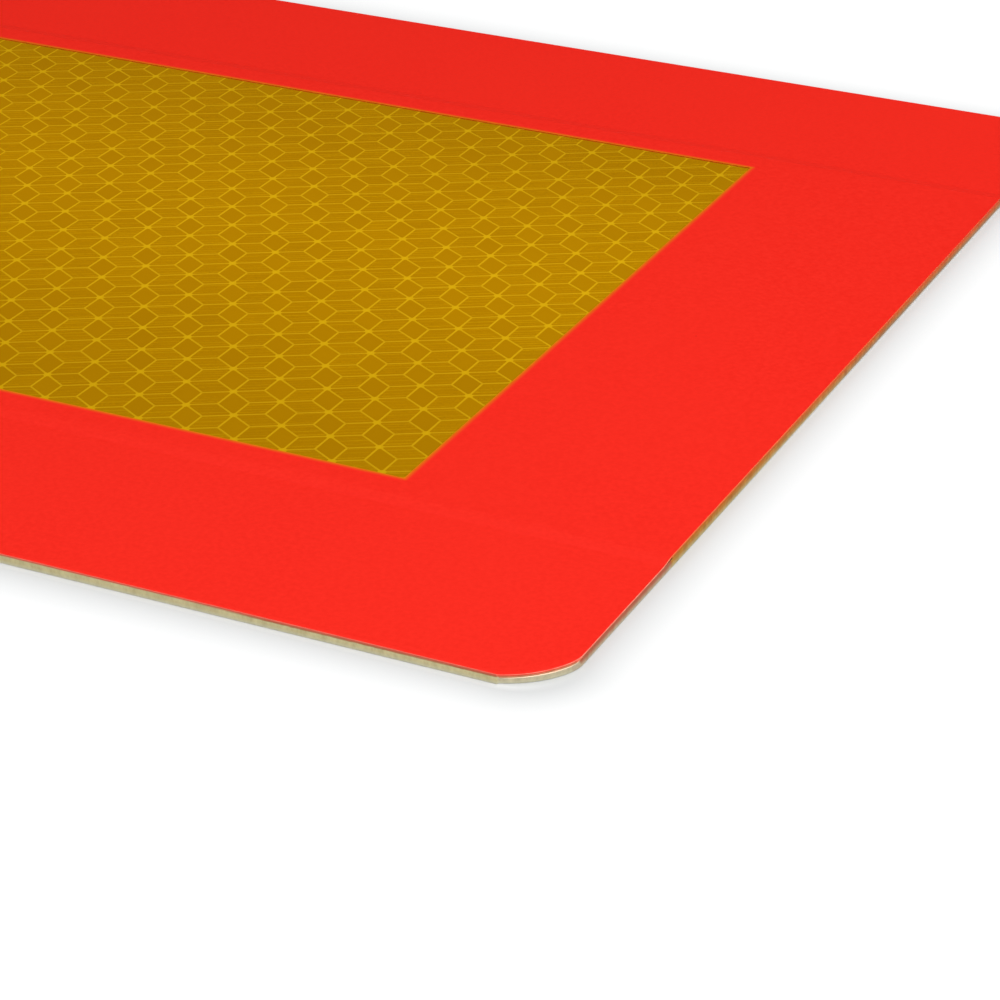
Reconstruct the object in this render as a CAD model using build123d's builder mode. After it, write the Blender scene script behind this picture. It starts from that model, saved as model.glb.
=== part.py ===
from build123d import *
import os

# Vehicle rear marker board: a laminate on an aluminium sheet, lying face up.
# Origin at the middle of the back face, +X along the length, +Y up the board as it is mounted,
# +Z out of its face.

# Board
board_length = 565.0
board_height = 200.0
plate_thickness = 1.2
plate_edge_round = 0.06  # rounded rim of the back face, left by the shear

# Punched corners: an arc that meets each edge at a slight angle
corner_reach = 7.3  # from the square corner to the arc's end, along each edge
corner_bulge = 1.2  # height of the arc over its chord

# Red frame film and its window
border_width = 39.8
window_corner_radius = 0.3
frame_adhesive_thickness = 0.04
frame_film_thickness = 0.11

# Yellow prism sheeting: a strip from end to end, a little higher than the window
strip_overlap = 4.6  # how far it runs under the frame film beyond the window
sheeting_adhesive_thickness = 0.05
sealing_film_thickness = 0.05
seal_net_thickness = 0.05
prism_film_thickness = 0.1
sheeting_face_film_thickness = 0.05

# The frame film bridges the step beside the strip
drape_run = 2.7

# Worked out from the sizes above
window_length = board_length - 2 * border_width
window_height = board_height - 2 * border_width
strip_height = window_height + 2 * strip_overlap
strip_layers = {
    "sheeting_adhesive": sheeting_adhesive_thickness,
    "sealing_film": sealing_film_thickness,
    "seal_net": seal_net_thickness,
    "prism_film": prism_film_thickness,
    "sheeting_face_film": sheeting_face_film_thickness,
}
strip_thickness = sum(strip_layers.values())
frame_layers = {
    "frame_adhesive": frame_adhesive_thickness,
    "frame_film": frame_film_thickness,
}
frame_thickness = sum(frame_layers.values())
board_thickness = plate_thickness + strip_thickness + frame_thickness

os.makedirs("parts", exist_ok=True)


def finish(piece, name):
    """Labels a finished piece and writes it."""
    piece.part.label = name
    export_step(piece.part, f"parts/{name}.step")


def drape(rise):
    """Points across the board, front to back, at a height over what carries the frame film."""
    low = plate_thickness + rise
    high = low + strip_thickness
    return [
        (-board_height / 2, low),
        (-strip_height / 2 - drape_run, low),
        (-strip_height / 2, high),
        (strip_height / 2, high),
        (strip_height / 2 + drape_run, low),
        (board_height / 2, low),
    ]


# Outline of the plate and of the frame film, drawn for one quarter and mirrored
with BuildSketch() as board_outline:
    with BuildLine():
        front_edge = Line((0, -board_height / 2), (board_length / 2 - corner_reach, -board_height / 2))
        corner_end = (board_length / 2, -board_height / 2 + corner_reach)
        corner = SagittaArc(front_edge @ 1, corner_end, -corner_bulge)
        Line(corner @ 1, (board_length / 2, 0))
        mirror(about=Plane.XZ)
        mirror(about=Plane.YZ)
    make_face()

with BuildSketch() as window_outline:
    RectangleRounded(window_length, window_height, window_corner_radius)

# Backing plate
with BuildPart() as backing_plate:
    with BuildSketch():
        add(board_outline.sketch)
    extrude(amount=plate_thickness)
    fillet(backing_plate.faces().sort_by(Axis.Z)[0].edges(), plate_edge_round)
finish(backing_plate, "backing_plate")

# Layers of the prism sheeting, from the plate up
layer_bottom = plate_thickness
for layer_name, layer_thickness in strip_layers.items():
    with BuildPart() as strip_layer:
        with BuildSketch(Plane.XY.offset(layer_bottom)):
            Rectangle(board_length, strip_height)
        extrude(amount=layer_thickness)
    finish(strip_layer, layer_name)
    layer_bottom += layer_thickness

# Layers of the red frame: draped over the strip, trimmed to the plate and opened by the window
layer_rise = 0.0
for layer_name, layer_thickness in frame_layers.items():
    with BuildPart() as frame_layer:
        with BuildSketch(Plane.YZ):
            with BuildLine():
                Polyline(*drape(layer_rise), *reversed(drape(layer_rise + layer_thickness)), close=True)
            make_face()
        extrude(amount=board_length / 2, both=True)
        with BuildSketch():
            add(board_outline.sketch)
        extrude(amount=board_thickness, mode=Mode.INTERSECT)
        with BuildSketch():
            add(window_outline.sketch)
        extrude(amount=board_thickness, mode=Mode.SUBTRACT)
    finish(frame_layer, layer_name)
    layer_rise += layer_thickness
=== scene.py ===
import math
from collections import namedtuple

import bpy
import numpy as np
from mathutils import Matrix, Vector
from mathutils.geometry import delaunay_2d_cdt


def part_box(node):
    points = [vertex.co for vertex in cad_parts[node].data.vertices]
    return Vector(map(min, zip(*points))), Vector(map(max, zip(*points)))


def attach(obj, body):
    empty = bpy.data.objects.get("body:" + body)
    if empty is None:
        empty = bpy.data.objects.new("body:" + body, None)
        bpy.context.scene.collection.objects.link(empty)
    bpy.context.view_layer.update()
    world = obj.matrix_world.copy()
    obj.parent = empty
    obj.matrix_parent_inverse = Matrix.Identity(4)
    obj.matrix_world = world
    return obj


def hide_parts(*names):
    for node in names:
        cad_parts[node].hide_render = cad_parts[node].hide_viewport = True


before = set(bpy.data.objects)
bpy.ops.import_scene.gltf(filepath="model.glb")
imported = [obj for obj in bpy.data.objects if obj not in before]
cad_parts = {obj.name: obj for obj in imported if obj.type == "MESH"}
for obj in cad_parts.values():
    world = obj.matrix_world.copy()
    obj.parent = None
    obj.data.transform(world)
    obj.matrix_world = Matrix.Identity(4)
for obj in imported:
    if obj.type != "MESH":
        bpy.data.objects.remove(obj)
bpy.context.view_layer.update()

# Rear marker board lying face up on a white table. Lengths are in millimetres until a mesh is made.
MM = 0.001
CLOSE = 1e-6  # places no further apart than this are one
SLACK = 1e-3  # how far inside the window's edge a face's middle counts as in the window

# Sizes of the solids
half_length, half_height = (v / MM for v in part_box("frame_film")[1].xy)
plate_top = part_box("backing_plate")[1].z / MM
strip_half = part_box("sheeting_face_film")[1].y / MM
sheet_low, sheet_top = (c.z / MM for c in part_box("sheeting_face_film"))
glue_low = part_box("frame_adhesive")[0].z / MM
film_low, film_high = (c.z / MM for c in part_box("frame_film"))
strip_rise = sheet_top - plate_top
film_top = film_high - strip_rise

# Sizes repeated from the part's source
corner_reach = 7.3
corner_bulge = 1.2
border_width = 39.8
window_corner_radius = 0.3
drape_run = 2.7
plate_edge_round = 0.06

# Steps of the curves
ARC_STEPS = 28
EASE_STEPS = 6
ROUND_STEPS = 6
DRAPE_STEPS = 10
SHARP_ANGLE = 17  # edges that turn by more than this, in degrees, stay sharp

# Punched corners, along which shares run from the long edge to the board's end
corner_count = ARC_STEPS + EASE_STEPS + 1
corner_ease = 6.0  # radius that eases a punched corner into the board's end
punch_start = 0.033  # share of a corner in which the punch's marks set in
punch_end = 0.14  # share of it in which they fade
facet_width = 0.09  # burnished facet, which the adhesive leaves bare
facet_turn = 35  # how far its two ends lean from level and from upright, in degrees
facet_end = 0.95  # share of a corner at which the facet runs out
facet_skew = 1.6  # its widest place lies past the middle
break_level = 0.75  # below this the wall broke away, leaning in towards the back
break_lean = 0.23

# Cut edges of the plate and of the red film
shear_round = 0.025  # edge of the plate's face along the straight cuts
roll_reach = 0.5  # how far from a punched corner or a long edge the face is drawn down
roll_drop = 0.36
edge_drop = 0.05  # the same along the long edges
roll_insets = (roll_reach, 0.38, 0.27, 0.18)
rim_width = 0.06  # painted highlight: a pale line along the cut film
rim_depth = 0.1
punch_rim_depth = 0.03
punch_rim_inset = 0.12  # how far the adhesive stands out from the film at a punched corner
rim_bevel = 0.03
rim_drop = 0.02
window_rim_width = 0.95  # thin edge of the window, through which the yellow shows, with the red film's glow painted over it
window_rim_depth = 0.065
window_glow_orange = 0.08  # width of its full orange, where the red film's glow is painted
drape_ease = 0.12  # share of the drape's run in which its slope sets in

# Looks of the cut walls
foot_light_heights = (0.15, 0.5)  # heights between which a painted pale foot, the white table's light on a wall, fades
end_insets = (0.5, 0.4)  # insets from the board's ends between which their own look sets in
gold_fade = 0.6  # how far past the strip its gold stain fades
corner_fade = 0.3  # how far into a punched corner its own tones set in
edge_fall = 0.27  # how far adhesive was dragged down the long edges
end_fall = 1.08  # the same at the ends
glued_run = (232.0, 247.0)  # places along the long edges between which that adhesive sets in
red_fall = (0.03, 0.12)  # depths on the long edges between which the red at the top fades

# Stains and painted light on the strip's ends: how strong, the places across the board where they begin and
# are full, the heights where they run out and are full, and the colour
StainOrLight = namedtuple("StainOrLight", "share start full run_out most tone")
red_stain = StainOrLight(0.85, -75.0, 60.0, 0.13, film_high, (0.9, 0.03, 0.01))
# the end walls darker low down, towards the back
darker_low_wall = StainOrLight(0.45, -20.0, 10.0, 0.95, 0.4, (0.25, 0.1, 0.09))
# painted light of the white table on the lowest part of the end walls, towards the back
painted_foot_light = StainOrLight(0.95, -50.0, 0.0, 0.26, 0.12, (0.97, 0.92, 0.88))

# Weld net of the sheeting: six-way stars on a triangular grid, joined by the sides of rhombi
star_pitch = 7.4016
rhombus_side = star_pitch / math.sqrt(3)
first_star = (239.224, -59.751)
rows_before = 3  # rows of stars in front of that one
stars_after = 10  # stars in a row from it to the right
net_turn = -0.0016
line_half_widths = {30: 0.18, 90: 0.165, 150: 0.165}  # by direction, in degrees
line_glows = {30: 0.33, 90: 0.72, 150: 0.6}
star_glow = 1.0
tip_glow = 0.8  # at the rounded tips of the cells
floor_glow = 0.5
star_cut = 0.38  # how far a cell's acute tip is rounded off along its sides
star_quad = 0.85  # where a line's straight run begins, from the star
joint_quad = 0.3  # the same from a three-way joint
net_sink = 0.02  # how far the lines lie below the sheeting's face
net_level = sheet_top - net_sink
cell_sink = 0.004  # how far a cell reaches down into them

# Prism rows of the cells, with ranges as shares of the pitch and of the width
SEED = 7
PLAIN_LEAN = 120  # the rhombi that show no prism rows
LEANS = (0, 60, PLAIN_LEAN)
row_direction = 30
row_pitch = 0.82
row_width = 0.34
row_rise = 0.012
first_places = (0.3, 0.9)
row_widths = (0.7, 1.2)
row_gaps = (0.75, 1.35)
row_contrast = 1.3
sheen_middle = 10.0  # where, across the strip, its painted sheen is strongest
sheen_reach = 72.0

# Places in the texture maps
ROW = (0.01, 0.99)
LEFT_HALF = (0.01, 0.49)
RIGHT_HALF = (0.51, 0.99)
TOPS = (0.01, 0.88)  # lowest place and height
UNDERSIDES = (0.91, 0.08)
FACE_HALF = (0.49, 0.17)  # half the size of the plate's faces
PLATE_FACE = (0.5, 0.81)
PLATE_BACK = (0.5, 0.45)
FRONT_ROW, BACK_ROW, END_ROW = 0.01, 0.09, 0.17
ROLL_ROWS = (0.07, 0.064)
FACET_ROWS = (0.06, 0.05)
BREAK_ROW = 0.03
FOOT_ROWS = (0.01, 0.0)
RIM_ROWS = (0.01, 0.26, 0.51, 0.76)
RIM_HEIGHT = 0.22
RIM_RINGS = 6


def unit(v):
    return v / np.linalg.norm(v, axis=-1, keepdims=True)


def direction(degrees):
    return np.array([math.cos(math.radians(degrees)), math.sin(math.radians(degrees))])


def arc(centre, radius, angles):
    return centre + radius * np.stack([np.cos(angles), np.sin(angles)], 1)


def moved_in(ring, amount):
    """A counter-clockwise outline moved inwards, square to its edges."""
    before = unit(ring - np.roll(ring, 1, 0))
    after = unit(np.roll(ring, -1, 0) - ring)
    normal_before = np.stack([-before[:, 1], before[:, 0]], 1)
    normal_after = np.stack([-after[:, 1], after[:, 0]], 1)
    spread = 1 + (normal_before * normal_after).sum(1, keepdims=True)
    amounts = np.broadcast_to(amount, len(ring)).reshape(-1, 1)
    return ring + (normal_before + normal_after) / spread * amounts


def lift(y):
    """How far the strip lifts the red film at a place across the board: a slope with eased ends."""
    t = np.clip((strip_half + drape_run - np.abs(y)) / drape_run, 0, 1)
    near = np.minimum(t, 1 - t)
    eased = np.where(near < drape_ease, near**2 / (2 * drape_ease), near - drape_ease / 2)
    eased = eased / (1 - drape_ease)
    return strip_rise * np.where(t < 0.5, eased, 1 - eased)


class Shell:
    """Points and faces of one mesh. Points closer than a ten-thousandth of a millimetre are one."""

    def __init__(self):
        self.points, self.faces, self.found = [], [], {}
        self.marks, self.below = [], []

    def point(self, x, y, z):
        key = (round(x, 4), round(y, 4), round(z, 4))
        if key not in self.found:
            self.found[key] = len(self.points)
            self.points.append((x, y, z))
        return self.found[key]

    def ring(self, outline, z):
        heights = np.broadcast_to(z, len(outline))
        return [self.point(x, y, h) for (x, y), h in zip(outline.tolist(), heights.tolist())]

    def face(self, corners, mark=None, below=False):
        """Adds a face, with values for its material and whether it is an underside."""
        clean = [c for i, c in enumerate(corners) if c != corners[i - 1]]
        if len(set(clean)) > 2:
            self.faces.append(clean)
            self.marks.append(mark)
            self.below.append(below)

    def bridge(self, upper, lower):
        """Wall between two rings of as many points, facing outwards if they run counter-clockwise."""
        for i in range(len(upper)):
            self.face([upper[i - 1], lower[i - 1], lower[i], upper[i]])

    def piece(self, name, material, node_name, slot_name, flat=False):
        """Makes the mesh, which stands for a node of the frame."""
        mesh = bpy.data.meshes.new(name)
        mesh.from_pydata([Vector(p) * MM for p in self.points], [], self.faces)
        mesh.materials.append(material)
        mesh.polygons.foreach_set("use_smooth", [not flat] * len(mesh.polygons))
        if not flat:
            mesh.set_sharp_from_angle(angle=math.radians(SHARP_ANGLE))
        made = bpy.data.objects.new(name, mesh)
        bpy.context.scene.collection.objects.link(made)
        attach(made, "root")
        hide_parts(node_name)
        return made

    def seen_from_above(self, made):
        """Texture map: the piece as seen from above, with its undersides in a strip of their own."""
        layer = made.data.uv_layers.new(name="OFBake")
        places = np.array(self.points)[:, :2]
        low, high = places.min(0), places.max(0)
        shares = (places - low) / (high - low)
        left, right = ROW
        spots = []
        for face, below in zip(self.faces, self.below):
            bottom, height = UNDERSIDES if below else TOPS
            for x, y in shares[face]:
                spots.append((left + (right - left) * x, bottom + height * y))
        layer.uv.foreach_set("vector", np.array(spots, np.float32).ravel())


def add_field(made, name, domain, values):
    made.data.attributes.new(name, "FLOAT", domain).data.foreach_set("value", values)


# Outlines
drape_lines = np.linspace(strip_half, strip_half + drape_run, DRAPE_STEPS + 1)
side_stations = np.concatenate([-drape_lines[::-1], drape_lines])
side_count = len(side_stations)


def board_outline():
    """The board's outline, and for each point how far it lies along a corner, from the long edge on."""
    chord = corner_reach * math.sqrt(2)
    radius = (chord**2 / 4 + corner_bulge**2) / (2 * corner_bulge)
    half_angle = math.asin(chord / 2 / radius)
    outwards = np.array([1, -1]) / math.sqrt(2)
    middle = np.array([half_length - corner_reach / 2, -half_height + corner_reach / 2])
    centre = middle - (radius - corner_bulge) * outwards
    ease_turn = -math.acos((half_length - corner_ease - centre[0]) / (radius - corner_ease))
    ease_centre = centre + (radius - corner_ease) * np.array([math.cos(ease_turn), math.sin(ease_turn)])
    punch_cut = arc(centre, radius, np.linspace(-half_angle - math.pi / 4, ease_turn, ARC_STEPS + 1))
    ease_cut = arc(ease_centre, corner_ease, np.linspace(ease_turn, 0, EASE_STEPS + 1))
    corner = np.concatenate([punch_cut, ease_cut[1:]])
    steps = np.linalg.norm(np.diff(corner, axis=0), axis=1)
    along = np.append(0, np.cumsum(steps)) / steps.sum()
    side = np.stack([np.full(side_count, half_length), side_stations], 1)
    off = np.zeros(side_count)
    quarters = [
        (corner, along),
        (side, off),
        (corner[::-1] * (1, -1), along[::-1]),
        (-corner, along),
        (-side, off),
        (corner[::-1] * (-1, 1), along[::-1]),
    ]
    return np.concatenate([q[0] for q in quarters]), np.concatenate([q[1] for q in quarters])


def window_outline():
    turn = np.linspace(0, math.pi / 2, ROUND_STEPS + 1)
    centre = np.array([half_length, half_height]) - border_width - window_corner_radius
    corners = []
    for quarter, signs in enumerate(((1, -1), (1, 1), (-1, 1), (-1, -1))):
        corners.append(arc(signs * centre, window_corner_radius, turn + (quarter - 1) * math.pi / 2))
    return np.concatenate(corners)


outline, corner_share = board_outline()
window = window_outline()
from_end = np.clip(np.minimum(corner_share / punch_start, (1 - corner_share) / punch_end), 0, 1)
punched = from_end**2 * (3 - 2 * from_end)
burnish = np.sin(math.pi * np.clip(corner_share / facet_end, 0, 1) ** facet_skew) ** 0.5
on_long_edge = np.abs(outline[:, 1]) > half_height - CLOSE
drawn_down = np.where(on_long_edge, edge_drop, roll_drop * punched)


def roll(inset):
    """How far the cuts drew the face down, by the distance from the outline."""
    return drawn_down * np.clip(1 - inset / roll_reach, 0, 1) ** 2


def ring_faces(outer, hole):
    """Triangles between the board's outline and its window, cut along the drape lines."""
    points = [Vector(p) for p in np.concatenate([outer, hole]).tolist()]
    count = len(outer)
    edges = [(i, (i + 1) % count) for i in range(count)]
    edges += [(count + i, count + (i + 1) % len(hole)) for i in range(len(hole))]
    right = corner_count
    left = 3 * corner_count + side_count
    edges += [(right + i, left + side_count - 1 - i) for i in range(side_count)]
    made, _, faces, *_ = delaunay_2d_cdt(points, edges, [], 1, CLOSE)
    reach = np.abs(hole).max(0) - SLACK
    middles = [np.mean([made[i] for i in f], 0) for f in faces]
    return made, [f for f, m in zip(faces, middles) if not (np.abs(m) < reach).all()]


def add_sheet(shell, level, hole, below):
    """One face of a sheet, laid over the strip, from the window to where the corners start to bend."""
    flat, faces = ring_faces(moved_in(outline, roll_reach), hole)
    ids = [shell.point(p.x, p.y, level + float(lift(p.y))) for p in flat]
    for f in faces:
        shell.face([ids[i] for i in (reversed(f) if below else f)], below=below)


def add_walls(shell, path, way, profile):
    """Walls along a path through insets and levels. The way is 1 at the outline, -1 at the window."""
    rings = []
    for inset, level in profile:
        moved = moved_in(path, way * inset)
        heights = level + lift(moved[:, 1]) - (roll(inset) if way > 0 else 0)
        rings.append(shell.ring(moved, heights)[::way])
    for upper, lower in zip(rings, rings[1:]):
        shell.bridge(upper, lower)


# Materials
def new_material(name):
    material = bpy.data.materials.new(name)
    material.use_nodes = True
    return material, material.node_tree, material.node_tree.nodes["Principled BSDF"]


def node(tree, kind, inputs=None, **settings):
    """A node with its settings, and its inputs given as values or as sockets to link."""
    made = tree.nodes.new(kind)
    for key, value in settings.items():
        setattr(made, key, value)
    for key, value in (inputs or {}).items():
        if isinstance(value, bpy.types.NodeSocket):
            tree.links.new(value, made.inputs[key])
        else:
            made.inputs[key].default_value = value
    return made


def object_place(tree, scale=(1, 1, 1)):
    place = node(tree, "ShaderNodeTexCoord").outputs["Object"]
    return node(tree, "ShaderNodeMapping", {"Vector": place, "Scale": scale}).outputs["Vector"]


def axes(tree):
    """Place along, across and over the board, in metres."""
    return node(tree, "ShaderNodeSeparateXYZ", {0: object_place(tree)}).outputs


def span(tree, value, from_low, from_high, low, high, kind="LINEAR"):
    """A value mapped from one range to another, and held at its ends."""
    settings = {"Value": value, 1: from_low, 2: from_high, 3: low, 4: high}
    return node(tree, "ShaderNodeMapRange", settings, interpolation_type=kind).outputs["Result"]


def between(tree, share, low, high):
    """A value from low to high, by a share from 0 to 1."""
    return span(tree, share, 0.0, 1.0, low, high)


def ramp(tree, length, start, end, low, high):
    """A value from low to high, by a length from start to end in millimetres."""
    return span(tree, length, start * MM, end * MM, low, high)


def maths(tree, operation, a, b=0.0):
    return node(tree, "ShaderNodeMath", {0: a, 1: b}, operation=operation).outputs["Value"]


def times(tree, a, b):
    return maths(tree, "MULTIPLY", a, b)


def either(tree, a, b):
    return maths(tree, "MAXIMUM", a, b)


def absolute(tree, value):
    return maths(tree, "ABSOLUTE", value)


def mixed(tree, factor, a, b):
    """Value between a and b."""
    return node(tree, "ShaderNodeMix", {0: factor, 2: a, 3: b}).outputs[0]


def blend(tree, factor, a, b):
    """Colour between a and b."""
    made = node(tree, "ShaderNodeMix", data_type="RGBA")
    for socket, value in ((made.inputs[0], factor), (made.inputs[6], a), (made.inputs[7], b)):
        if isinstance(value, bpy.types.NodeSocket):
            tree.links.new(value, socket)
        else:
            socket.default_value = value if isinstance(value, float) else (*value, 1.0)
    return made.outputs[2]


def noise(tree, scale, stretch=(1, 1, 1), detail=3.0, rough=0.55):
    """Noise from 0 to 1, with its weak ends cut off."""
    place = object_place(tree, stretch)
    settings = {"Vector": place, "Scale": scale, "Detail": detail, "Roughness": rough}
    return span(tree, node(tree, "ShaderNodeTexNoise", settings).outputs["Fac"], 0.3, 0.7, 0.0, 1.0)


def attribute(tree, name):
    return node(tree, "ShaderNodeAttribute", attribute_name=name).outputs["Fac"]


def past_insets(tree, place, inset):
    """How far a place lies beyond an inset from the board's end, and from its long edge, in metres."""
    halves = (("X", half_length), ("Y", half_height))
    return [maths(tree, "SUBTRACT", absolute(tree, place[a]), (half - inset) * MM) for a, half in halves]


def relief(tree, shader, height, strength, distance):
    bump = node(tree, "ShaderNodeBump", {"Height": height, "Strength": strength, "Distance": distance * MM})
    tree.links.new(bump.outputs["Normal"], shader.inputs["Normal"])


def dress(tree, shader, colour, roughness, specular):
    tree.links.new(colour, shader.inputs["Base Color"])
    tree.links.new(roughness, shader.inputs["Roughness"])
    shader.inputs["Specular IOR Level"].default_value = specular


def stained_or_lit(tree, colour, place, where, stain_or_light):
    """A colour with one of the strip's end marks over it; these are a stain, painted light and a darker low
    part.
    """
    amount = ramp(tree, place["Y"], stain_or_light.start, stain_or_light.full, 0.0, stain_or_light.share)
    amount = times(tree, amount, ramp(tree, place["Z"], stain_or_light.run_out, stain_or_light.most, 0.0, 1.0))
    return blend(tree, times(tree, amount, where), colour, stain_or_light.tone)


def red_film_material():
    """Fluorescent red with a fine grain, faint clouds and a few dark specks."""
    material, tree, shader = new_material("red_fluorescent_film")
    grain, cloud = noise(tree, 1400, detail=2.0), noise(tree, 22, detail=2.0)
    colour = blend(tree, grain, (0.94, 0.021, 0.012), (1.0, 0.0285, 0.017))
    colour = blend(tree, times(tree, cloud, 0.35), colour, (0.97, 0.0285, 0.0145))
    cells = node(tree, "ShaderNodeTexVoronoi", {"Vector": object_place(tree), "Scale": 110.0}).outputs
    speck = span(tree, cells["Distance"], 0.011, 0.021, 1.0, 0.0)
    chosen = node(tree, "ShaderNodeSeparateColor", {0: cells["Color"]}).outputs[0]
    chosen = span(tree, chosen, 0.3, 0.8, 0.0, 0.75)
    colour = blend(tree, times(tree, speck, chosen), colour, (0.42, 0.012, 0.008))
    dress(tree, shader, colour, between(tree, grain, 0.28, 0.34), 0.06)
    relief(tree, shader, noise(tree, 2200, detail=2.0), 0.05, 0.01)
    return material


def cut_edge_material(name, dark, light, strip_dark, strip_highlight, front_highlight, corner_tones=None):
    """Cut edge of the film or its adhesive: patchy, with a painted highlight that is palest at the ends,
    orange over the yellow strip.
    """
    material, tree, shader = new_material(name)
    patch, place = noise(tree, 900, detail=4.0), axes(tree)
    on_strip = ramp(tree, absolute(tree, place["Y"]), strip_half, strip_half + drape_run, 1.0, 0.0)
    # painted highlight: the cut edge's pale tone is strongest towards the board's ends
    highlight_at_end = ramp(tree, absolute(tree, place["X"]), half_length - corner_reach, half_length, 0.4, 1.0)
    light = blend(tree, highlight_at_end, front_highlight, blend(tree, on_strip, light, strip_highlight))
    colour = blend(tree, patch, blend(tree, on_strip, dark, strip_dark), light)
    colour = stained_or_lit(tree, colour, place, on_strip, red_stain)
    if corner_tones:
        past = maths(tree, "MINIMUM", *past_insets(tree, place, corner_reach))
        at_corner = ramp(tree, past, 0.0, corner_fade, 0.0, 1.0)
        colour = blend(tree, at_corner, colour, blend(tree, patch, *corner_tones))
    dress(tree, shader, colour, between(tree, patch, 0.35, 0.6), 0.1)
    return material


# painted highlight: the pale line along the film's cut edge
def rim_highlight_material():
    return cut_edge_material(
        "red_frame_highlight_rim",
        dark=(0.95, 0.16, 0.1),
        light=(1.0, 0.38, 0.26),
        strip_dark=(0.9, 0.15, 0.05),
        strip_highlight=(0.94, 0.25, 0.06),
        front_highlight=(0.95, 0.12, 0.07),
    )


# partly painted highlight: the adhesive's pale tones carry on the film's pale line
def frame_glue_material():
    return cut_edge_material(
        "frame_adhesive",
        dark=(0.72, 0.17, 0.1),
        light=(0.94, 0.3, 0.19),
        strip_dark=(0.7, 0.14, 0.03),
        strip_highlight=(0.9, 0.25, 0.05),
        front_highlight=(0.92, 0.2, 0.12),
        corner_tones=((0.44, 0.155, 0.068), (0.66, 0.21, 0.105)),
    )


def window_rim_material():
    """Thin edge of the window: orange at the cut, where the yellow shows through with painted glow of the
    red film over it, and red where the film is whole again.
    """
    material, tree, shader = new_material("window_rim")
    patch = noise(tree, 900, detail=4.0)
    past = either(tree, *past_insets(tree, axes(tree), border_width))
    thin = ramp(tree, past, window_glow_orange, window_rim_width, 1.0, 0.0)
    glow_orange = blend(tree, patch, (0.7, 0.175, 0.002), (0.78, 0.215, 0.004))
    colour = blend(tree, times(tree, thin, thin), (0.97, 0.0275, 0.0145), glow_orange)
    dress(tree, shader, colour, between(tree, patch, 0.3, 0.4), 0.06)
    return material


def adhesive_material(name, dark, light):
    material, tree, shader = new_material(name)
    patch = noise(tree, 700, detail=5.0, rough=0.65)
    colour = stained_or_lit(tree, blend(tree, patch, dark, light), axes(tree), 1.0, red_stain)
    dress(tree, shader, colour, between(tree, patch, 0.45, 0.7), 0.08)
    return material


def bare_wall(tree, place, marks, punch):
    """Colour of the plate's cut walls under the adhesive: shear marks, patches and a pale foot painted as
    light from the white table.
    """
    wall = blend(tree, marks, (0.6, 0.5, 0.27), (0.82, 0.72, 0.42))
    patch = noise(tree, 160, detail=2.0)
    wall = blend(tree, times(tree, patch, 0.4), wall, (0.74, 0.69, 0.38))
    wall = blend(tree, punch, wall, blend(tree, marks, (0.615, 0.54, 0.365), (0.81, 0.71, 0.5)))
    # painted light: the white table lights the foot of the walls
    foot_light = ramp(tree, place["Z"], *foot_light_heights, 0.7, 0.0)
    return blend(tree, foot_light, wall, (0.76, 0.74, 0.56))


def smeared(tree, place, at_end, punch, down):
    """How far adhesive covers a cut wall: in streaks at the ends, in places along the long edges."""
    streak = noise(tree, 800, (1, 1, 0.12), 4.0, 0.6)
    fall = between(tree, at_end, edge_fall * MM, end_fall * MM)
    fall = times(tree, fall, between(tree, streak, 0.8, 1.15))
    fall = times(tree, fall, span(tree, punch, 0.0, 0.8, 1.0, 0.3))
    full = between(tree, at_end, 0.7, 0.38)
    smear = span(tree, maths(tree, "DIVIDE", down, fall), full, 1.05, 1.0, 0.0)
    smear = times(tree, smear, span(tree, punch, 0.5, 0.9, 1.0, 0.0))
    worn = between(tree, noise(tree, 130, detail=3.0), 0.45, 1.0)
    near_corner = ramp(tree, absolute(tree, place["X"]), *glued_run, 0.04, 1.0)
    return times(tree, smear, either(tree, at_end, times(tree, worn, near_corner)))


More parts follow.
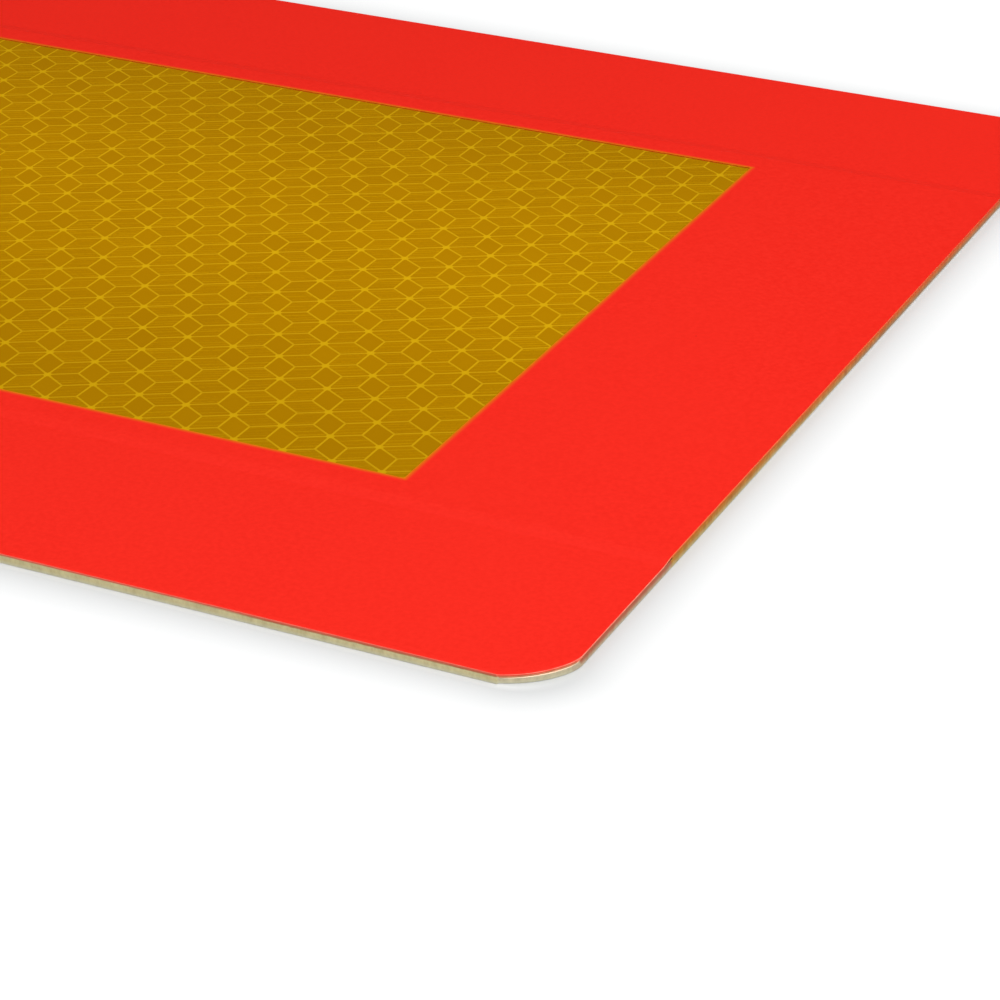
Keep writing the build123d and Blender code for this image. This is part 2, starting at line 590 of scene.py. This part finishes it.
def aluminium_material():
    """Mill finish on the faces; on the cut walls shear marks, and adhesive dragged down by the cut."""
    material, tree, shader = new_material("plate_aluminium")
    place, punch = axes(tree), attribute(tree, "punched")
    rolled = noise(tree, 900, (0.012, 1, 1), 4.0, 0.6)
    marks = noise(tree, 1100, (1, 1, 0.5), 4.0, 0.65)
    normal = node(tree, "ShaderNodeNewGeometry").outputs["Normal"]
    upright = node(tree, "ShaderNodeSeparateXYZ", {0: normal}).outputs["Z"]
    is_wall = span(tree, absolute(tree, upright), 0.9, 0.98, 1.0, 0.0)
    end_start, end_full = (half_length - inset for inset in end_insets)
    at_end = ramp(tree, absolute(tree, place["X"]), end_start, end_full, 0.0, 1.0)
    on_strip = ramp(tree, absolute(tree, place["Y"]), strip_half, strip_half + gold_fade, 1.0, 0.0)
    gold = times(tree, at_end, on_strip)

    end_tone = blend(tree, gold, (0.56, 0.42, 0.31), (0.52, 0.38, 0.1))
    wall = blend(tree, times(tree, at_end, 0.5), bare_wall(tree, place, marks, punch), end_tone)
    cut_top = between(tree, at_end, (plate_top - edge_drop) * MM, plate_top * MM)
    down = maths(tree, "SUBTRACT", cut_top, place["Z"])
    smear = smeared(tree, place, at_end, punch, down)
    glue = blend(tree, at_end, (0.54, 0.1, 0.032), (0.48, 0.115, 0.045))
    glue = blend(tree, gold, glue, blend(tree, marks, (0.36, 0.145, 0.004), (0.62, 0.29, 0.008)))
    wall = blend(tree, smear, wall, glue)
    # a stain, the darker low part, and painted light of the table at the foot
    for stain_or_light in (red_stain, darker_low_wall, painted_foot_light):
        wall = stained_or_lit(tree, wall, place, gold, stain_or_light)
    elsewhere = span(tree, either(tree, at_end, punch), 0.0, 0.5, 1.0, 0.0)
    dragged = times(tree, ramp(tree, down, *red_fall, 1.0, 0.0), elsewhere)
    wall = blend(tree, dragged, wall, (0.84, 0.14, 0.08))
    burnished = times(tree, attribute(tree, "burnish"), span(tree, upright, 0.1, 0.3, 0.0, 1.0))
    wall = blend(tree, burnished, wall, (0.76, 0.57, 0.41))

    face = blend(tree, rolled, (0.64, 0.635, 0.62), (0.74, 0.735, 0.72))
    face = blend(tree, times(tree, noise(tree, 14), 0.4), face, (0.7, 0.69, 0.665))
    in_gap = times(tree, at_end, span(tree, upright, 0.9, 0.98, 0.0, 1.0))
    face = blend(tree, in_gap, face, (0.2, 0.08, 0.04))

    rough_wall = mixed(tree, burnished, between(tree, marks, 0.55, 0.42), 0.56)
    rough = mixed(tree, is_wall, between(tree, rolled, 0.3, 0.42), rough_wall)
    dress(tree, shader, blend(tree, is_wall, face, wall), rough, 0.12)
    covered = either(tree, times(tree, either(tree, smear, dragged), is_wall), in_gap)
    tree.links.new(between(tree, covered, 0.85, 0.1), shader.inputs["Metallic"])
    relief(tree, shader, rolled, 0.06, 0.01)
    return material


def sheen_across_web(tree, colour):
    """A colour that a painted sheen makes a little stronger along the middle of the strip, and weaker
    towards its edges.
    """
    away = absolute(tree, maths(tree, "SUBTRACT", axes(tree)["Y"], sheen_middle * MM))
    strength = span(tree, away, 0.0, sheen_reach * MM, 1.115, 0.95, "SMOOTHSTEP")
    scaled = node(tree, "ShaderNodeVectorMath", {0: colour, "Scale": strength}, operation="SCALE")
    return scaled.outputs["Vector"]


def cell_material():
    """Yellow prism cells: a tone for each cell, and lighter prism rows."""
    material, tree, shader = new_material("yellow_prism_cells")
    tone, row = attribute(tree, "tone"), attribute(tree, "row")
    fine, cloud = noise(tree, 1600), noise(tree, 40, detail=2.0)
    colour = blend(tree, tone, (0.436, 0.203, 0.0), (0.47, 0.222, 0.0))
    colour = blend(tree, row, colour, (0.535, 0.276, 0.001))
    colour = blend(tree, times(tree, fine, 0.25), colour, (0.42, 0.2, 0.0))
    colour = blend(tree, times(tree, cloud, 0.25), colour, (0.5, 0.235, 0.0))
    # painted sheen: the yellow is lighter along the middle of the strip
    dress(tree, shader, sheen_across_web(tree, colour), between(tree, fine, 0.15, 0.21), 0.06)
    return material


def weld_material():
    """Welded lines, brightest at the stars."""
    material, tree, shader = new_material("weld_lines")
    fine, glow = noise(tree, 1300), attribute(tree, "glow")
    colour = blend(tree, glow, (0.52, 0.265, 0.005), (0.71, 0.415, 0.004))
    colour = blend(tree, times(tree, fine, 0.25), colour, (0.54, 0.3, 0.0))
    # painted sheen: the lines are lighter along the middle of the strip
    dress(tree, shader, sheen_across_web(tree, colour), between(tree, fine, 0.16, 0.24), 0.06)
    return material


# Texture maps of walls. The ends of the four sides, as points of a path, start with the right side's
board_ends = [corner_count - 1, corner_count + side_count]
board_ends += [3 * corner_count + side_count - 1, 3 * corner_count + 2 * side_count]
window_quarter = len(window) // 4
window_ends = [window_quarter - 1, window_quarter, 3 * window_quarter - 1, 3 * window_quarter]


def unroll(made, path, ends, rows, heights):
    """Texture map of a piece made of rings along a path. Its four sides are unrolled into rows of the
    map, and the plate's two faces lie above them as seen from above."""
    lengths = np.linalg.norm(path - np.roll(path, 1, 0), axis=1)
    places = np.cumsum(lengths) - lengths[0]
    turn, count = lengths.sum(), len(path)
    sides = list(zip(ends, [*ends[1:], ends[0]], rows))
    layer = made.data.uv_layers.new(name="OFBake")
    spots = np.zeros((len(made.data.loops), 2), np.float32)
    for face in made.data.polygons:
        corners = np.array(face.vertices)
        loops = list(face.loop_indices)
        if len(corners) > 4:
            flat = np.array([made.data.vertices[i].co.xy for i in corners]) / MM
            middle = PLATE_FACE if face.normal.z > 0 else PLATE_BACK
            spots[loops] = middle + flat / (half_length, half_height) * FACE_HALF
            continue
        rings, columns = np.divmod(corners, count)
        if np.ptp(rings) > 1:
            rings[rings == 0] = rings.max() + 1
        for first, last, (low, high, bottom) in sides:
            if ((columns - first) % count).max() <= (last - first) % count:
                gone = (places[columns] - places[first]) % turn
                across = low + (high - low) * gone / ((places[last] - places[first]) % turn)
                spots[loops] = np.stack([across, bottom + heights[rings]], 1)
    layer.uv.foreach_set("vector", spots.ravel())


def unroll_rim(rim, path, ends):
    rows = [(*ROW, bottom) for bottom in RIM_ROWS]
    unroll(rim, path, ends, rows, np.linspace(RIM_HEIGHT, 0.0, RIM_RINGS))


# Backing plate
def make_plate():
    shell, rings = Shell(), []
    width = shear_round + (facet_width - shear_round) * burnish
    lean = math.radians(facet_turn) * punched
    reach = np.cos(lean) - np.sin(lean)
    quarter = np.linspace(0, math.pi / 2, ROUND_STEPS + 1)
    for inset in roll_insets:
        rings.append(shell.ring(moved_in(outline, inset), plate_top - roll(inset)))
    for a in np.linspace(lean, math.pi / 2 - lean, ROUND_STEPS + 1):
        inset = width * (np.cos(lean) - np.sin(a)) / reach
        drop = roll(width) + width * (np.cos(lean) - np.cos(a)) / reach
        rings.append(shell.ring(moved_in(outline, inset), plate_top - drop))
    rings.append(shell.ring(outline, break_level))
    broken_in = break_lean * punched * (1 - corner_share**2)
    for a in quarter:
        inset = broken_in + plate_edge_round * (1 - math.cos(a))
        rings.append(shell.ring(moved_in(outline, inset), plate_edge_round * (1 - math.sin(a))))
    for upper, lower in zip(rings, rings[1:]):
        shell.bridge(upper, lower)
    shell.face(rings[0])
    shell.face(rings[-1][::-1])
    plate = shell.piece("plate", aluminium_material(), "backing_plate", "plate_aluminium")
    for name, values in (("punched", punched), ("burnish", burnish)):
        add_field(plate, name, "POINT", np.tile(values, len(rings)))
    roll_rows = np.linspace(*ROLL_ROWS, len(roll_insets))
    facet_rows = np.linspace(*FACET_ROWS, ROUND_STEPS + 1)
    foot_rows = np.linspace(*FOOT_ROWS, ROUND_STEPS + 1)
    heights = np.concatenate([roll_rows, facet_rows, [BREAK_ROW], foot_rows])
    rows = [(*LEFT_HALF, END_ROW), (*ROW, BACK_ROW), (*RIGHT_HALF, END_ROW), (*ROW, FRONT_ROW)]
    unroll(plate, outline, board_ends, rows, heights)


# Red film with a painted highlight along its cut edge, the thin edge round its window with painted glow,
# and the adhesive under it
def make_red_frame():
    pull = facet_width * burnish
    rim_out = pull + punch_rim_inset * punched
    rim_in = rim_out + rim_width
    notch = film_top - rim_depth + (rim_depth - punch_rim_depth) * punched
    under_film = [*roll_insets[:3], np.maximum(roll_insets[3], rim_out), rim_out]
    under_glue = [*roll_insets, pull]
    film, glue, highlight_rim, window_rim = Shell(), Shell(), Shell(), Shell()

    add_sheet(film, film_top, moved_in(window, -window_rim_width), False)
    add_sheet(film, film_low, window, True)
    edge = [(inset, film_top) for inset in (*roll_insets[:3], rim_in)]
    edge += [(rim_in, notch), (rim_out, notch)]
    add_walls(film, outline, 1, edge + [(inset, film_low) for inset in under_film[::-1]])
    wide, low = window_rim_width, film_top - window_rim_depth
    add_walls(film, window, -1, [(wide, film_top), (wide, low), (0, low), (0, film_low)])
    film.seen_from_above(film.piece("red_frame", red_film_material(), "frame_film", "red_frame_film"))

    # the pale line of painted highlight along the film's cut edge
    loop = [(rim_in, film_top), (rim_out + rim_bevel, film_top), (rim_out, film_top - rim_drop)]
    add_walls(highlight_rim, outline, 1, [*loop, (rim_out, notch), (rim_in, notch), loop[0]])
    made = highlight_rim.piece("red_frame_highlight_rim", rim_highlight_material(), "frame_film", "red_frame_film")
    unroll_rim(made, outline, board_ends)
    loop = [(wide, film_top), (rim_bevel, film_top), (0, film_top - rim_drop)]
    add_walls(window_rim, window, -1, [*loop, (0, low), (wide, low), loop[0]])
    made = window_rim.piece("window_rim", window_rim_material(), "frame_film", "red_frame_film")
    unroll_rim(made, window, window_ends)

    add_sheet(glue, film_low, window, False)
    add_sheet(glue, glue_low, window, True)
    edge = [(inset, film_low) for inset in under_glue]
    edge += [(inset, glue_low) for inset in under_glue[::-1]]
    add_walls(glue, outline, 1, edge)
    add_walls(glue, window, -1, [(0, film_low), (0, glue_low)])
    made = glue.piece("frame_glue", frame_glue_material(), "frame_adhesive", "frame_adhesive")
    glue.seen_from_above(made)


# Yellow sheeting
across_rows = direction(row_direction + 90)


def clipped(polygon):
    """The part of a convex polygon that lies on the strip."""
    reach = np.array([half_length, strip_half])
    if (np.abs(polygon) <= reach).all():
        return polygon
    for axis, sign in ((0, 1), (0, -1), (1, 1), (1, -1)):
        kept = []
        for i, here in enumerate(polygon):
            last = polygon[i - 1]
            inside, was = sign * here[axis] <= reach[axis], sign * last[axis] <= reach[axis]
            if inside != was:
                part = (sign * reach[axis] - last[axis]) / (here[axis] - last[axis])
                kept.append(last + part * (here - last))
            if inside:
                kept.append(here)
        polygon = kept
        if len(polygon) < 3:
            return []
    return polygon


def split(polygon, level):
    """The parts of a convex polygon below and above a level, measured across the prism rows."""
    parts = ([], [])
    for i, here in enumerate(polygon):
        last = polygon[i - 1]
        a, b = last @ across_rows - level, here @ across_rows - level
        if a * b < 0:
            cut = last + a / (a - b) * (here - last)
            parts[0].append(cut)
            parts[1].append(cut)
        if b <= 0:
            parts[0].append(here)
        if b >= 0:
            parts[1].append(here)
    return parts


def stops_along(start, end, levels):
    """The points where a side crosses the levels, in order."""
    a, b = start @ across_rows, end @ across_rows
    crossed = [(level - a) / (b - a) for level in levels if (level - a) * (level - b) < 0]
    return [start + part * (end - start) for part in sorted(crossed)]


def rhombi():
    """Each cell's lean, its four corners, a star first, and the directions of its sides."""
    c, s = math.cos(net_turn), math.sin(net_turn)
    margin = 2 * rhombus_side
    row_height = star_pitch * math.sqrt(3) / 2
    row_count = int(2 * (strip_half + margin) / row_height) + 2
    star_count = int(2 * (half_length + margin) / star_pitch) + 2
    for n in range(-rows_before, row_count):
        for m in range(-star_count, stars_after):
            u, v = (m + 0.5 * (n % 2)) * star_pitch, n * row_height
            star = np.array([first_star[0] + u * c - v * s, first_star[1] + u * s + v * c])
            if abs(star[0]) > half_length + margin or abs(star[1]) > strip_half + margin:
                continue
            for lean in LEANS:
                turned = lean + math.degrees(net_turn)
                near, far = rhombus_side * direction(turned - 30), rhombus_side * direction(turned + 30)
                corners = [star, star + near, star + near + far, star + far]
                yield lean, corners, [(lean - 30) % 180, (lean + 30) % 180] * 2


def cell_tips(corners, widths):
    """The cell between the weld lines: points for each corner, with its acute tips rounded off."""
    ways = [unit(corners[(i + 1) % 4] - corners[i]) for i in range(4)]
    lefts = [np.array([-w[1], w[0]]) for w in ways]
    tips = []
    for i in range(4):
        sides = np.array([lefts[i - 1], lefts[i]])
        goal = [lefts[i - 1] @ corners[i] + widths[i - 1], lefts[i] @ corners[i] + widths[i]]
        tip = np.linalg.solve(sides, goal)
        if i % 2:
            tips.append([tip])
            continue
        inwards = star_cut * math.tan(math.pi / 6) * unit(ways[i] - ways[i - 1])
        tips.append([tip - star_cut * ways[i - 1], tip + inwards, tip + star_cut * ways[i]])
    return tips


def add_lines(net, glow, corners, tips, glows):
    """The halves of the weld lines that lie inside one rhombus, and the floor of its cell."""

    def add(points, values):
        flat = clipped(points)
        ids = [net.point(p[0], p[1], net_level) for p in flat]
        net.face(ids)
        for p, i in zip(flat, ids):
            same = [g for q, g in zip(points, values) if np.abs(q - p).max() < CLOSE]
            glow[i] = same[0] if same else sum(values) / len(values)

    for i in range(4):
        j = (i + 1) % 4
        start, end, side = corners[i], corners[j], glows[i]
        way = unit(end - start)
        run_in, run_out = (joint_quad, star_quad) if i % 2 else (star_quad, joint_quad)
        first, last = (side, star_glow) if i % 2 else (star_glow, side)
        q0, q1 = start + run_in * way, end - run_out * way
        add([q0, q1, tips[j][0], tips[i][-1]], [side] * 4)
        add([start, q0, tips[i][-1]], [first, side, side])
        add([q1, end, tips[j][0]], [side, last, side])
        for a, b in zip(tips[i], tips[i][1:]):
            add([start, b, a], [star_glow, tip_glow, tip_glow])
    floor = clipped([p for tip in tips for p in tip])
    net.face([net.point(p[0], p[1], net_level) for p in floor])


def prism_rows(rng, low, high):
    """Uneven prism rows across a cell: the start, crest and end of each, and how strongly each shows."""
    stops, strengths = [], []
    at = low + rng.uniform(*first_places) * row_pitch
    while at < high - row_width:
        wide = row_width * rng.uniform(*row_widths)
        stops += [at, at + wide / 2, at + wide]
        strengths.append(rng.uniform(0.0, 1.0) ** row_contrast)
        at += row_pitch * rng.uniform(*row_gaps)
    return stops, strengths


def add_cell(cells, rng, lean, points):
    """One closed cell, with its prism rows as low ridges."""
    tone = rng.uniform(0.0, 1.0)
    reaches = [p @ across_rows for p in points]
    stops, strengths = prism_rows(rng, min(reaches), max(reaches)) if lean != PLAIN_LEAN else ([], [])
    flat = clipped(points)
    if not len(flat):
        return
    crests = [0.0, row_rise, 0.0] * len(strengths)

    def placed(p):
        rise = np.interp(p @ across_rows, stops, crests) if stops else 0.0
        return cells.point(p[0], p[1], sheet_top - row_rise + rise)

    rest = flat
    for k, stop in enumerate([*stops, None]):
        band, rest = split(rest, stop) if stop is not None else (rest, [])
        row = strengths[(k - 1) // 3] if k % 3 else 0.0
        if len(band) > 2:
            cells.face([placed(p) for p in band], (tone, row))
        if stop is not None and len(rest) < 3:
            break
    upper = [placed(p) for p in flat]
    lower = [cells.point(p[0], p[1], net_level - cell_sink) for p in flat]
    for i, end in enumerate(flat):
        between_stops = [placed(p) for p in stops_along(flat[i - 1], end, stops)]
        cells.face([upper[i - 1], lower[i - 1], lower[i], upper[i], *between_stops[::-1]], (tone, 0.0))
    cells.face(lower[::-1], (tone, 0.0), below=True)


def close_slab(shell, low):
    """Gives an open, flat mesh a wall round its border and a bottom."""
    used = {(f[i - 1], b) for f in shell.faces for i, b in enumerate(f)}
    after = {a: b for a, b in used if (b, a) not in used}
    start = min(after)
    border, here = [start], after[start]
    while here != start:
        border.append(here)
        here = after[here]
    lower = [shell.point(shell.points[i][0], shell.points[i][1], low) for i in border]
    shell.bridge(border, lower)
    shell.face(lower[::-1], below=True)


def make_sheeting():
    rng = np.random.default_rng(SEED)
    net, glow = Shell(), {}
    kinds = {lean: Shell() for lean in LEANS}
    for lean, corners, sides in rhombi():
        if not len(clipped(corners)):
            continue
        tips = cell_tips(corners, [line_half_widths[s] for s in sides])
        add_lines(net, glow, corners, tips, [line_glows[s] for s in sides])
        add_cell(kinds[lean], rng, lean, [p for tip in tips for p in tip])

    close_slab(net, sheet_low)
    made = net.piece("weld_lines", weld_material(), "sheeting_face_film", "seal_net", flat=True)
    add_field(made, "glow", "POINT", [glow.get(i, floor_glow) for i in range(len(net.points))])
    net.seen_from_above(made)

    look = cell_material()
    for lean, cells in kinds.items():
        made = cells.piece(f"prism_cells_{lean}", look, "sheeting_face_film", "yellow_face_film", flat=True)
        for k, name in enumerate(("tone", "row")):
            add_field(made, name, "FACE", [m[k] for m in cells.marks])
        cells.seen_from_above(made)


# Layers that show only at the board's two ends
def dress_inner_layers():
    looks = {
        "sheeting_adhesive": ((0.38, 0.12, 0.008), (0.5, 0.17, 0.012)),
        "sealing_film": ((0.48, 0.12, 0.01), (0.6, 0.17, 0.015)),
        "seal_net": ((0.6, 0.12, 0.01), (0.72, 0.17, 0.02)),
        "prism_film": ((0.72, 0.12, 0.01), (0.84, 0.17, 0.02)),
    }
    for name, (dark, light) in looks.items():
        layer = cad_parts[name]
        layer.data.materials.clear()
        layer.data.materials.append(adhesive_material(name + "_look", dark, light))


make_plate()
make_red_frame()
make_sheeting()
dress_inner_layers()

# Table, light and camera. Apart from the shade's lengths and the lens, lengths are in metres from here on
floor_half = 8.0
floor_drop = 0.00005
floor_tone = 0.9
floor_lift = 0.26  # light of the table's own, which keeps it white
shade_reach = 5.8  # soft painted shadow round the board
shade_depth = 0.42
shade_foot = 1.0  # width of the paler shade right at the board
foot_share = 0.6  # share of the shade there
end_foot_share = 0.9  # the same beyond the ends
shade_red = 0.975
ceiling_start, ceiling_full = 0.6, 0.85  # as the upward part of a direction
wall_light = 0.015
ceiling_light = 0.92
sensor_width = 36.0
focal_length = 120.156
camera_place = (0.42137, -0.40297, 0.1982)
camera_fall = 27.3478  # degrees below level
camera_turn = 25.6832


def outline_gap(tree):
    """Distance from the board's outline, in metres."""
    squares = []
    for past in past_insets(tree, axes(tree), corner_reach):
        outside = either(tree, past, 0.0)
        squares.append(times(tree, outside, outside))
    root = maths(tree, "SQRT", maths(tree, "ADD", *squares))
    return maths(tree, "SUBTRACT", root, corner_reach * MM)


def make_floor():
    mesh = bpy.data.meshes.new("floor")
    signs = ((-1, -1), (1, -1), (1, 1), (-1, 1))
    corners = [(x * floor_half, y * floor_half, -floor_drop) for x, y in signs]
    mesh.from_pydata(corners, [], [(0, 1, 2, 3)])
    floor = bpy.data.objects.new("floor", mesh)
    bpy.context.scene.collection.objects.link(floor)
    material = bpy.data.materials.new("white_table")
    material.use_nodes = True
    mesh.materials.append(material)
    tree = material.node_tree
    tree.nodes.clear()
    # Painted shadow: the table's colour and its own light darken with the distance from the board's
    # outline, less so right at its foot, and a little less red
    gap = outline_gap(tree)
    fade = maths(tree, "EXPONENT", maths(tree, "DIVIDE", gap, -shade_reach * MM))
    along = absolute(tree, axes(tree)["X"])
    least = ramp(tree, along, half_length - corner_reach, half_length, foot_share, end_foot_share)
    fade = times(tree, fade, ramp(tree, gap, 0.0, shade_foot, least, 1.0))
    shade = maths(tree, "SUBTRACT", 1.0, times(tree, fade, shade_depth))
    tone = blend(tree, fade, (floor_tone,) * 3, (shade_red * floor_tone, floor_tone, floor_tone))
    colour = blend(tree, shade, (0.0, 0.0, 0.0), tone)
    diffuse = node(tree, "ShaderNodeBsdfDiffuse", {"Color": colour}).outputs["BSDF"]
    path = node(tree, "ShaderNodeLightPath").outputs
    seen = either(tree, path["Is Camera Ray"], path["Is Glossy Ray"])
    seen = either(tree, seen, path["Is Transmission Ray"])
    strength = times(tree, times(tree, seen, shade), floor_lift)
    glow = node(tree, "ShaderNodeEmission", {"Strength": strength}).outputs["Emission"]
    both = node(tree, "ShaderNodeAddShader", {0: diffuse, 1: glow}).outputs["Shader"]
    node(tree, "ShaderNodeOutputMaterial", {"Surface": both})


def make_world():
    """Soft room light: dark walls and a bright ceiling, on a white ground."""
    world = bpy.data.worlds.new("room")
    bpy.context.scene.world = world
    world.use_nodes = True
    tree = world.node_tree
    background = tree.nodes["Background"]
    place = node(tree, "ShaderNodeTexCoord").outputs["Generated"]
    height = node(tree, "ShaderNodeSeparateXYZ", {0: place}).outputs["Z"]
    ceiling = span(tree, height, ceiling_start, ceiling_full, wall_light, ceiling_light)
    seen = node(tree, "ShaderNodeLightPath").outputs["Is Camera Ray"]
    tree.links.new(either(tree, ceiling, seen), background.inputs["Strength"])
    background.inputs["Color"].default_value = (1.0, 1.0, 1.0, 1.0)


def make_lamp(name, place, aim, side, watts):
    data = bpy.data.lights.new(name, "AREA")
    data.shape = "SQUARE"
    data.size, data.energy = side, watts
    lamp = bpy.data.objects.new(name, data)
    lamp.location = place
    lamp.rotation_euler = (Vector(aim) - Vector(place)).to_track_quat("-Z", "Y").to_euler()
    bpy.context.scene.collection.objects.link(lamp)


def make_camera():
    data = bpy.data.cameras.new("camera")
    data.sensor_width, data.lens = sensor_width, focal_length
    camera = bpy.data.objects.new("camera", data)
    camera.location = camera_place
    camera.rotation_euler = (math.radians(90 - camera_fall), 0.0, math.radians(camera_turn))
    bpy.context.scene.collection.objects.link(camera)
    bpy.context.scene.camera = camera


make_floor()
make_world()
make_lamp("key", place=(0.76, -0.66, 1.1), aim=(0.22, -0.02, 0.0), side=0.7, watts=7.0)
make_lamp("side", place=(1.02, 0.01, 0.8), aim=(0.24, -0.05, 0.0), side=0.8, watts=5.5)
make_camera()
bpy.context.scene.view_settings.view_transform = "Standard"
